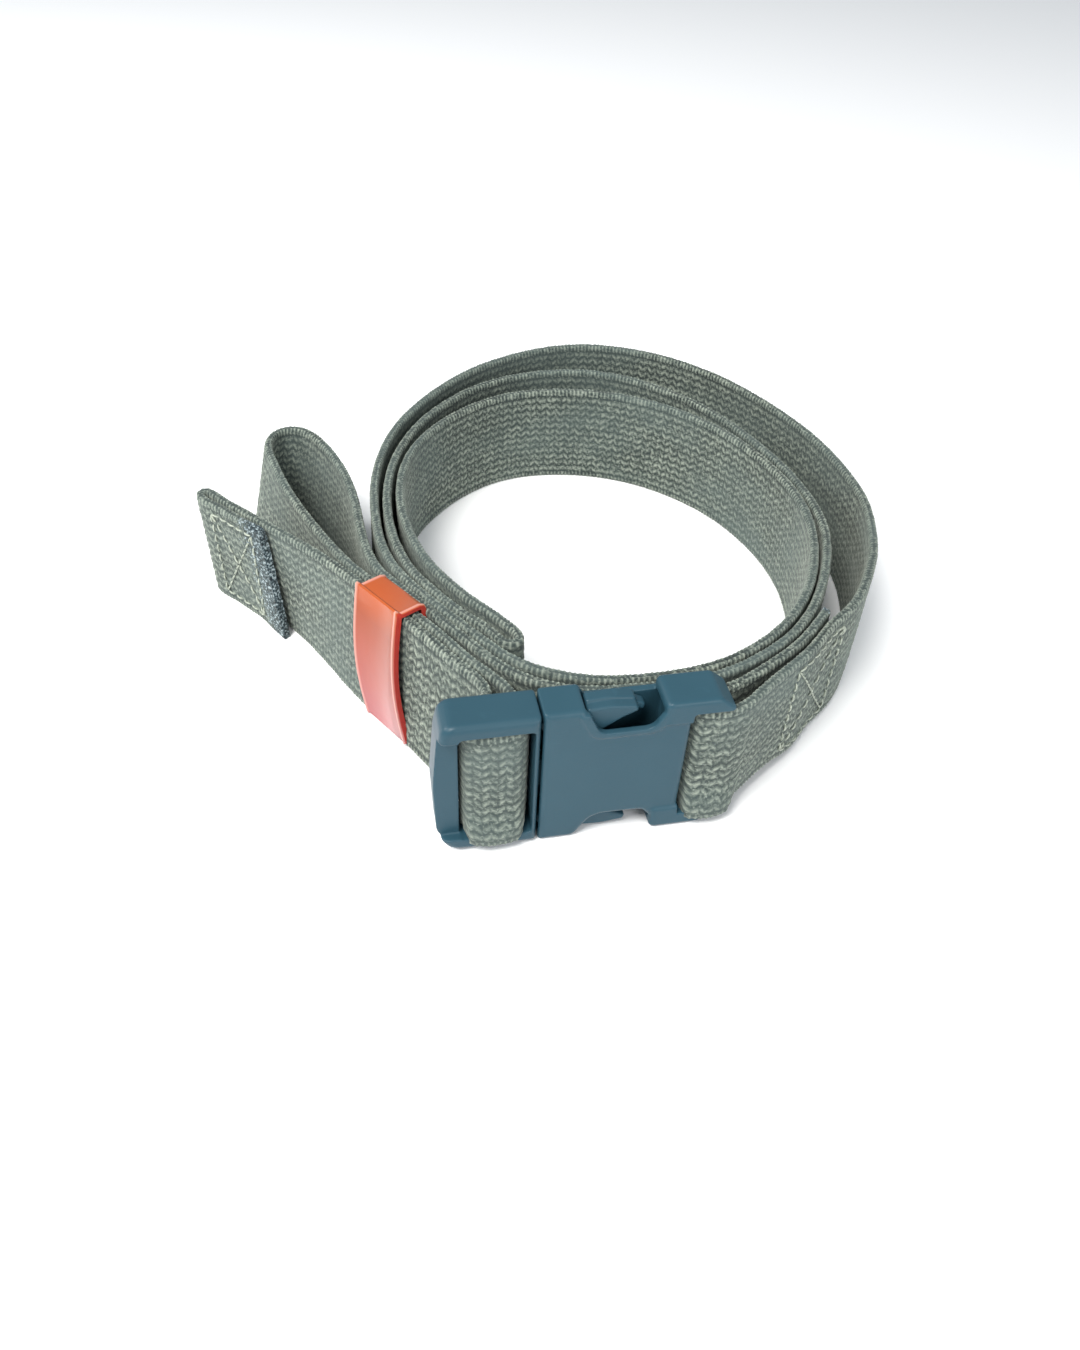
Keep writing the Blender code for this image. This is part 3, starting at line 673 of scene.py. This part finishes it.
def rounded(corners):
    """An outline of (x, z, radius) corners, each corner turned into an arc."""
    out = []
    count = len(corners)
    for i, (x, z, radius) in enumerate(corners):
        here = np.array((x, z))
        a = np.array(corners[i - 1][:2]) - here
        b = np.array(corners[(i + 1) % count][:2]) - here
        a /= np.linalg.norm(a)
        b /= np.linalg.norm(b)
        if radius <= 0:
            out.append((x, z))
            continue
        half = math.acos(max(-1.0, min(1.0, float(a @ b)))) / 2
        middle = (a + b) / np.linalg.norm(a + b)
        centre = here + middle * radius / math.sin(half)
        start = here + a * radius / math.tan(half) - centre
        end = here + b * radius / math.tan(half) - centre
        first = math.atan2(start[1], start[0])
        sweep = (math.atan2(end[1], end[0]) - first + math.pi) % (2 * math.pi) - math.pi
        for k in range(ARC_STEPS + 1):
            angle = first + sweep * k / ARC_STEPS
            out.append((centre[0] + radius * math.cos(angle), centre[1] + radius * math.sin(angle)))
    return out


def inset(corners, by):
    """The same corners moved inwards, their radii following."""
    points = np.array([c[:2] for c in corners], float)
    ahead = np.roll(points, -1, axis=0) - points
    x, z = points[:, 0], points[:, 1]
    turning = np.sign(np.sum(x * np.roll(z, -1) - np.roll(x, -1) * z))
    ahead /= np.linalg.norm(ahead, axis=1)[:, None]
    normal = np.stack([-ahead[:, 1], ahead[:, 0]], axis=1) * turning
    out = []
    for i, (x, z, radius) in enumerate(corners):
        n0, n1 = normal[i - 1], normal[i]
        move = (n0 + n1) / (1.0 + float(n0 @ n1))
        convex = turning * (ahead[i - 1][0] * ahead[i][1] - ahead[i - 1][1] * ahead[i][0]) > 0
        grown = radius - by if convex else radius + by
        out.append((x + move[0] * by, z + move[1] * by, max(grown, 0.02) if radius > 0 else 0.0))
    return out


def plate(name, corners, front, back, material, rim=0.0):
    """A closed outline in X and Z, extruded along Y, its rims rounded. Millimetres."""
    if rim:
        turn = np.linspace(0.0, math.pi / 2, RIM_STEPS + 1)
        levels = [(front + rim * (1 - math.cos(a)), rim * (1 - math.sin(a))) for a in turn]
        levels += [(back - rim * (1 - math.cos(a)), rim * (1 - math.sin(a))) for a in turn[::-1]]
    else:
        levels = [(front, 0.0), (back, 0.0)]
    vertices = []
    for y, by in levels:
        ring = rounded(inset(corners, by))
        vertices += [(x * MM, y * MM, z * MM) for x, z in ring]
    n = len(ring)
    faces = []
    for level in range(len(levels) - 1):
        a, b = level * n, (level + 1) * n
        faces += [(a + i, a + (i + 1) % n, b + (i + 1) % n, b + i) for i in range(n)]
    faces += [tuple(range(n - 1, -1, -1)), tuple(range((len(levels) - 1) * n, len(levels) * n))]
    obj = mesh_object(name, vertices, faces, material, smooth=False)
    face_outwards(obj)
    return obj


def box(name, x, y, z, material, radius=0.0, rim=0.0):
    """A block between pairs of x, y and z."""
    corners = [(x[0], z[1], radius), (x[1], z[1], radius), (x[1], z[0], radius), (x[0], z[0], radius)]
    return plate(name, corners, y[0], y[1], material, rim)


def flipped(corners):
    """The same outline upside down, at the buckle's other long edge."""
    return [(x, BUCKLE_HEIGHT - z, radius) for x, z, radius in corners]


def apply_modifiers(obj):
    graph = bpy.context.evaluated_depsgraph_get()
    mesh = bpy.data.meshes.new_from_object(obj.evaluated_get(graph))
    obj.modifiers.clear()
    obj.data = mesh


def combine(obj, other, operation):
    """Joins or cuts obj with other, which is then removed."""
    modifier = obj.modifiers.new("Boolean", "BOOLEAN")
    modifier.operation = operation
    modifier.solver = "EXACT"
    modifier.object = other
    apply_modifiers(obj)
    bpy.data.objects.remove(other)


def moulded(obj, voxel, passes=4):
    """Runs every edge of the part into a small fillet, as moulded plastic has."""
    remesh = obj.modifiers.new("Remesh", "REMESH")
    remesh.mode = "VOXEL"
    remesh.voxel_size = voxel * MM
    smooth = obj.modifiers.new("Smooth", "SMOOTH")
    smooth.factor = 0.5
    smooth.iterations = passes
    material = obj.data.materials[0]
    apply_modifiers(obj)
    obj.data.materials.clear()
    obj.data.materials.append(material)
    obj.data.shade_smooth()


def finish_part(obj, body, node):
    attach(obj, body)
    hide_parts(node)


RAIL_LOW, RAIL_HIGH = 3.2, 28.8
THROUGH = (-80.0, -60.0)                # a cut right through the buckle, front to back
BAR_DEPTH = (BUCKLE_MID - 1.35, BUCKLE_MID + 1.35)
BAR_RIM = 1.1
SOCKET_WALL = 1.4
PRONG_ROOT = -12.55
PRONG_RISE = MID_HEIGHT + 11.9          # the middle of the upper prong's arm


def build_socket():
    """The sleeve: an hourglass front, a lug each side of the strap, a rear bar and open long edges."""
    top = BUCKLE_HEIGHT
    corners = [
        (-14.0, top, 0.3),
        (-6.9, top, 1.0),
        (-4.2, 26.6, 2.4),
        (5.0, 26.6, 2.2),
        (8.0, 30.0, 0.8),
        (12.0, 30.0, 0.3),
        (12.0, 0.3, 0.3),
        (8.9, 0.3, 1.8),
        (5.2, 5.0, 2.4),
        (-4.0, 5.2, 3.6),
        (-7.2, 0.0, 2.0),
        (-14.0, 0.0, 0.3),
    ]
    socket = plate("socket_half", corners, BUCKLE_FRONT + 0.35, BUCKLE_BACK, SOCKET_PLASTIC, 1.0)
    lip = [(-8.3, 31.4, 0.4), (-5.5, 25.3, 3.0), (6.0, 25.3, 3.0), (9.6, 29.6, 0.4)]
    lip = plate("lip", lip, BUCKLE_FRONT + 0.02, BUCKLE_FRONT + 1.6, SOCKET_PLASTIC, 0.5)
    combine(socket, lip, "UNION")
    mouth = [(-7.0, 33.0, 0.0), (-4.2, 26.6, 2.4), (5.0, 26.6, 2.2), (9.0, 33.0, 0.0)]
    mouth = plate("mouth", mouth, THROUGH[0], BUCKLE_FRONT + 2.5, SOCKET_PLASTIC)
    combine(socket, mouth, "DIFFERENCE")
    lug = [
        (6.9, 26.6, 0.5),
        (6.9, 31.9, 1.2),
        (16.6, 31.9, 1.6),
        (19.5, 29.5, 1.0),
        (19.5, 27.4, 0.8),
        (12.4, 26.6, 0.3),
    ]
    for outline in (lug, flipped(lug)):
        part = plate("lug", outline, BUCKLE_FRONT - 0.1, BUCKLE_BACK + 0.03, SOCKET_PLASTIC, 0.8)
        combine(socket, part, "UNION")
    inside = (BUCKLE_FRONT + SOCKET_WALL, BUCKLE_BACK - SOCKET_WALL)
    cavity = box("cavity", (-15.0, 8.2), inside, (2.2, top - 2.2), SOCKET_PLASTIC)
    combine(socket, cavity, "DIFFERENCE")
    windows = box("windows", (-6.9, 6.9), inside, (-1.0, top + 1.0), SOCKET_PLASTIC)
    combine(socket, windows, "DIFFERENCE")
    rear = box("rear", (12.0, 20.5), THROUGH, (RAIL_LOW, RAIL_HIGH), SOCKET_PLASTIC, 0.5)
    combine(socket, rear, "DIFFERENCE")
    bar = box("bar", (15.2, 18.6), BAR_DEPTH, (2.0, top - 2.0), SOCKET_PLASTIC, 0.0, BAR_RIM)
    combine(socket, bar, "UNION")
    back_wall = (BUCKLE_BACK - SOCKET_WALL, BUCKLE_BACK - 0.05)
    for heights in ((24.0, 29.7), (2.3, 8.0)):
        combine(socket, box("back", (-7.5, 7.5), back_wall, heights, SOCKET_PLASTIC), "UNION")
    moulded(socket, 0.21)
    finish_part(socket, SOCKET_BODY, "female_socket")


def build_latch():
    """The frame with its slot and middle bar, and the guide that enters the sleeve."""
    corners = [
        (-30.9, 31.6, 2.6),
        (-14.35, 31.6, 0.3),
        (-14.35, 0.4, 0.3),
        (-30.2, 0.4, 3.4),
        (-32.3, 4.6, 4.0),
        (-32.7, 16.0, 30.0),
        (-31.8, 27.0, 8.0),
    ]
    latch = plate("latch_half", corners, BUCKLE_FRONT, BUCKLE_BACK + 0.35, LATCH_PLASTIC, 1.3)
    slot = box("slot", (-28.2, -15.3), THROUGH, (RAIL_LOW, RAIL_HIGH), LATCH_PLASTIC, 0.7)
    combine(latch, slot, "DIFFERENCE")
    front_cut = (THROUGH[0], BUCKLE_FRONT + 1.9)
    combine(latch, box("recess", (-36.0, -28.0), front_cut, (3.4, 28.0), LATCH_PLASTIC), "DIFFERENCE")
    bar_heights = (RAIL_LOW - 1.0, RAIL_HIGH + 1.0)
    bar = box("bar", (-22.6, -18.0), BAR_DEPTH, bar_heights, LATCH_PLASTIC, 0.0, BAR_RIM)
    combine(latch, bar, "UNION")
    guide = [
        (-14.9, MID_HEIGHT + 3.4, 0.0),
        (2.8, MID_HEIGHT + 3.4, 1.0),
        (5.0, MID_HEIGHT + 1.6, 0.8),
        (5.0, MID_HEIGHT - 1.6, 0.8),
        (2.8, MID_HEIGHT - 3.4, 1.0),
        (-14.9, MID_HEIGHT - 3.4, 0.0),
    ]
    guide = plate("guide", guide, BUCKLE_MID - 1.2, BUCKLE_MID + 1.2, LATCH_PLASTIC, 0.3)
    combine(latch, guide, "UNION")
    moulded(latch, 0.19)
    finish_part(latch, LATCH_BODY, "latch_base")


def build_prong(name, upper):
    """A sprung arm with a button whose front steps down towards the window."""
    root, rise, back = PRONG_ROOT, PRONG_RISE, BUCKLE_MID + 2.1

    def turned(corners):
        return corners if upper else flipped(corners)

    arm = [
        (root - 1.5, rise - 1.5, 1.3),
        (root - 1.5, rise + 1.5, 1.3),
        (-5.0, rise + 1.5, 0.4),
        (-2.2, rise + 0.2, 0.6),
        (-5.4, rise - 1.5, 2.0),
    ]
    prong = plate(name, turned(arm), BUCKLE_MID - 1.9, back, LATCH_PLASTIC, 0.3)
    for front, height in ((-72.65, 3.0), (-70.9, 3.45)):
        button = [
            (-6.4, rise - 2.2, 0.6),
            (-6.4, rise + height, 0.5),
            (-1.8, rise + height + 0.3, 9.0),
            (2.4, rise + height - 0.3, 0.8),
            (2.7, rise + 1.6, 0.5),
            (0.0, rise + 0.3, 2.5),
            (-4.0, rise - 2.4, 2.5),
        ]
        combine(prong, plate("button", turned(button), front, back, LATCH_PLASTIC, 0.5), "UNION")
    hook = [
        (1.2, rise + 1.2, 0.3),
        (1.4, rise + 2.6, 0.6),
        (4.4, rise + 0.9, 0.5),
        (4.2, rise - 0.6, 0.5),
    ]
    combine(prong, plate("hook", turned(hook), -70.4, back, LATCH_PLASTIC, 0.3), "UNION")
    moulded(prong, 0.12, 3)
    return prong


build_socket()
build_latch()
finish_part(build_prong("upper_button", True), "upper_prong", "upper_prong")
finish_part(build_prong("lower_button", False), "lower_prong", "lower_prong")

# ---------------------------------------------------------------- keeper


KEEPER_LENGTH = 13.5
KEEPER_WALL = 1.1
KEEPER_RIM = 0.22           # how far the raised rims stand out
KEEPER_BOW = 1.4            # the front wall is bowed
KEEPER_STAND = 4.1          # how far its lower end stands off with the tail
KEEPER_SKEW = 3.4           # how far its lower end is pushed along the strap


def build_keeper():
    """A bent strip of plastic round two layers of strap, its front wall bowed outwards."""
    x, y = KEEPER_CENTRE
    slope = (lift(y - 1.0) - lift(y + 1.0)) / 2 * -KEEPER_ALONG[1]
    along = np.array([*KEEPER_ALONG, slope])
    along /= np.linalg.norm(along)
    inwards = np.array([-KEEPER_ALONG[1], KEEPER_ALONG[0], 0.0])
    inwards /= np.linalg.norm(inwards)
    up = np.cross(along, inwards)
    if up[2] < 0:
        up = -up
    centre = np.array([x, y, lift(y) + STRAP_WIDTH / 2])
    depth, height = 2 * STRAP_THICKNESS + 0.9, STRAP_WIDTH + 0.6

    def loop(grow):
        """The section, as points of (inwards, up, along), grown by this much from the inner wall."""
        half_depth, half_height = depth / 2 + grow, height / 2 + grow * 0.7
        points = []
        for t in np.linspace(-0.98, 0.98, 21):
            share = (1.0 - t) / 2
            stand = KEEPER_STAND * share * (1.0 - 0.24 * share)
            across = -half_depth - KEEPER_BOW * math.cos(t * math.pi / 2) - stand
            points.append((across, half_height * t - share**2, KEEPER_SKEW * share))
        r = 0.4 + 0.8 * grow
        lip = 0.55 * grow
        points += [
            (-half_depth + 0.1 * grow, half_height + lip, 0.0),
            (-half_depth + 0.5, half_height + 1.2 * lip, 0.0),
            (-half_depth + 0.9, half_height + 0.8 * lip, 0.0),
            (-half_depth + 1.3, half_height, 0.0),
            (half_depth - r, half_height, 0.0),
            (half_depth - 0.3 * r, half_height - 0.3 * r, 0.0),
            (half_depth, half_height - r, 0.0),
            (half_depth, -half_height + r, 0.8),
            (half_depth - 0.3 * r, -half_height + 0.3 * r, 0.9),
            (half_depth - r, -half_height, 1.0),
            (-half_depth - 2.6, -half_height - 0.7, 3.0),
        ]
        return points

    inner_loop, outer_loop = loop(0.0), loop(KEEPER_WALL)
    rim_loop, cut_loop = loop(KEEPER_WALL + KEEPER_RIM), loop(KEEPER_WALL - 0.10)
    half = KEEPER_LENGTH / 2
    # Rings from one end round the outside to the other and back inside: place, section and "edge", which
    # is 1 for a painted highlight on the rims and -1 for painted shade on the cut ends and inner face.
    stations = (
        (-half, inner_loop, -1.0),
        (-half, cut_loop, -1.0),
        (-half + 0.12, outer_loop, 0.0),
        (-half + 0.25, rim_loop, 1.0),
        (-half + 0.65, rim_loop, 1.0),
        (-half + 0.95, outer_loop, 0.0),
        (0.0, outer_loop, 0.0),
        (half - 0.95, outer_loop, 0.0),
        (half - 0.65, rim_loop, 1.0),
        (half - 0.25, rim_loop, 1.0),
        (half - 0.12, outer_loop, 0.0),
        (half, cut_loop, -1.0),
        (half, inner_loop, -1.0),
        (half - 0.3, inner_loop, -1.0),
        (-half + 0.3, inner_loop, -1.0),
    )
    rings = [
        [centre + inwards * a + up * b + along * (end + c) for a, b, c in section]
        for end, section, _ in stations
    ]
    count = len(inner_loop)
    vertices = [tuple(p * MM) for ring in rings for p in ring]
    faces = []
    for i in range(len(rings)):
        j = (i + 1) % len(rings)
        for k in range(count):
            m = (k + 1) % count
            faces.append((i * count + k, i * count + m, j * count + m, j * count + k))
    keeper = mesh_object("keeper_loop", vertices, faces, KEEPER_PLASTIC, smooth=False)
    # The edge values carry the painted rim highlight and the painted shade of the cut ends and inner
    # face.
    edge = np.repeat([tint for _, _, tint in stations], count)
    add_attribute(keeper, "edge", edge)
    face_outwards(keeper)
    keeper.data.shade_smooth()
    keeper.data.set_sharp_from_angle(angle=math.radians(40))
    finish_part(keeper, "keeper", "keeper")


build_keeper()

# ---------------------------------------------------------------- floor, light and camera


FLOOR_REACH = 3.0
CAMERA_TURN, CAMERA_TILT, CAMERA_ROLL = 13.0, 42.5, 3.0         # degrees
CAMERA_TARGET = (-0.005, -0.030, 0.0)
CAMERA_DISTANCE = 0.226
CAMERA_LENS, SENSOR_WIDTH = 28.0, 36.0
LIGHT_TARGET = (0.0, 0.0, 0.015)
WHITE_LIGHT, WARM_LIGHT = (1.0, 1.0, 1.0), (1.0, 0.98, 0.95)
SKY, SKY_STRENGTH = (0.90, 0.95, 1.0, 1.0), 0.55


def build_floor():
    n = Nodes("floor_paper")
    n.surface(Base_Color=(0.93, 0.935, 0.94, 1.0), Roughness=0.9)
    size = FLOOR_REACH
    corners = [(-size, -size, 0.0), (size, -size, 0.0), (size, size, 0.0), (-size, size, 0.0)]
    mesh_object("floor", corners, [(0, 1, 2, 3)], n.material, smooth=False)


def add_light(name, position, size, power, colour):
    data = bpy.data.lights.new(name, "AREA")
    data.shape = "DISK"
    data.size = size
    data.energy = power
    data.color = colour
    lamp = link(bpy.data.objects.new(name, data))
    lamp.location = position
    lamp.rotation_euler = (Vector(LIGHT_TARGET) - Vector(position)).to_track_quat("-Z", "Y").to_euler()


def build_camera():
    """Looks down at the buckle from in front, a little from the left."""
    turn, tilt, roll = (math.radians(angle) for angle in (CAMERA_TURN, CAMERA_TILT, CAMERA_ROLL))
    level = math.cos(tilt)
    forward = Vector((level * math.sin(turn), level * math.cos(turn), -math.sin(tilt)))
    right = Vector((math.cos(turn), -math.sin(turn), 0.0))
    up = right.cross(forward)
    x_axis = math.cos(roll) * right + math.sin(roll) * up
    y_axis = math.cos(roll) * up - math.sin(roll) * right
    data = bpy.data.cameras.new("camera")
    data.lens = CAMERA_LENS
    data.sensor_width = SENSOR_WIDTH
    data.clip_start = 0.01
    camera = link(bpy.data.objects.new("camera", data))
    matrix = Matrix((x_axis, y_axis, -forward)).transposed().to_4x4()
    matrix.translation = Vector(CAMERA_TARGET) - forward * CAMERA_DISTANCE
    camera.matrix_world = matrix
    bpy.context.scene.camera = camera


def build_light():
    world = bpy.data.worlds.new("studio")
    world.use_nodes = True
    background = world.node_tree.nodes["Background"]
    background.inputs["Color"].default_value = SKY
    background.inputs["Strength"].default_value = SKY_STRENGTH
    bpy.context.scene.world = world
    add_light("key", (-0.35, -0.30, 0.75), 0.40, 9.0, WARM_LIGHT)
    add_light("edge", (-0.71, 0.26, 0.47), 0.22, 3.0, WHITE_LIGHT)
    add_light("front", (0.30, -0.75, 0.40), 0.5, 3.0, WHITE_LIGHT)
    bpy.context.scene.view_settings.view_transform = "Standard"


build_floor()
build_light()
build_camera()
